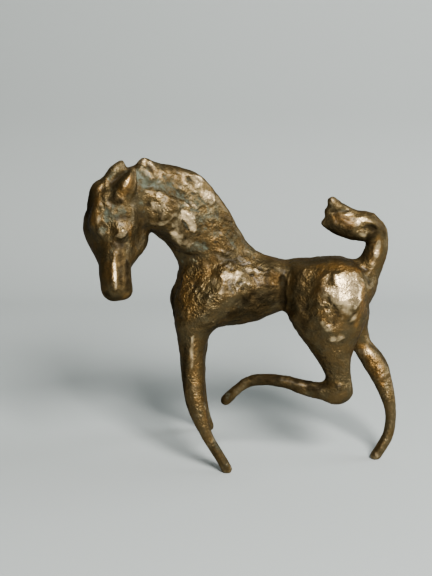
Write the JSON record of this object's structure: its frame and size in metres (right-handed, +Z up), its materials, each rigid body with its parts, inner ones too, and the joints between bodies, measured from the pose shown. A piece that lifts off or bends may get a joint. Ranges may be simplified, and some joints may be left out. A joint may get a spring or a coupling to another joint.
{
  "type": "foal statuette",
  "caption": "Small cast bronze foal standing on three thin legs, near hind leg drawn up under the belly, head turned and hanging, tail curled over the croup.",
  "frame": {"origin": "middle of the foal's bounding box, on the floor plane under its feet", "axes": "+Z up, -X the way the foal walks, -Y its left side, towards which the head is turned; Y is the narrowest extent"},
  "size_m": [0.1106, 0.0494, 0.1099],
  "materials": {
    "bronze": "brown patinated bronze, rubbed bright on the high places"
  },
  "bodies": {
    "root": {"foal": "bronze"}
  },
  "joints": []
}
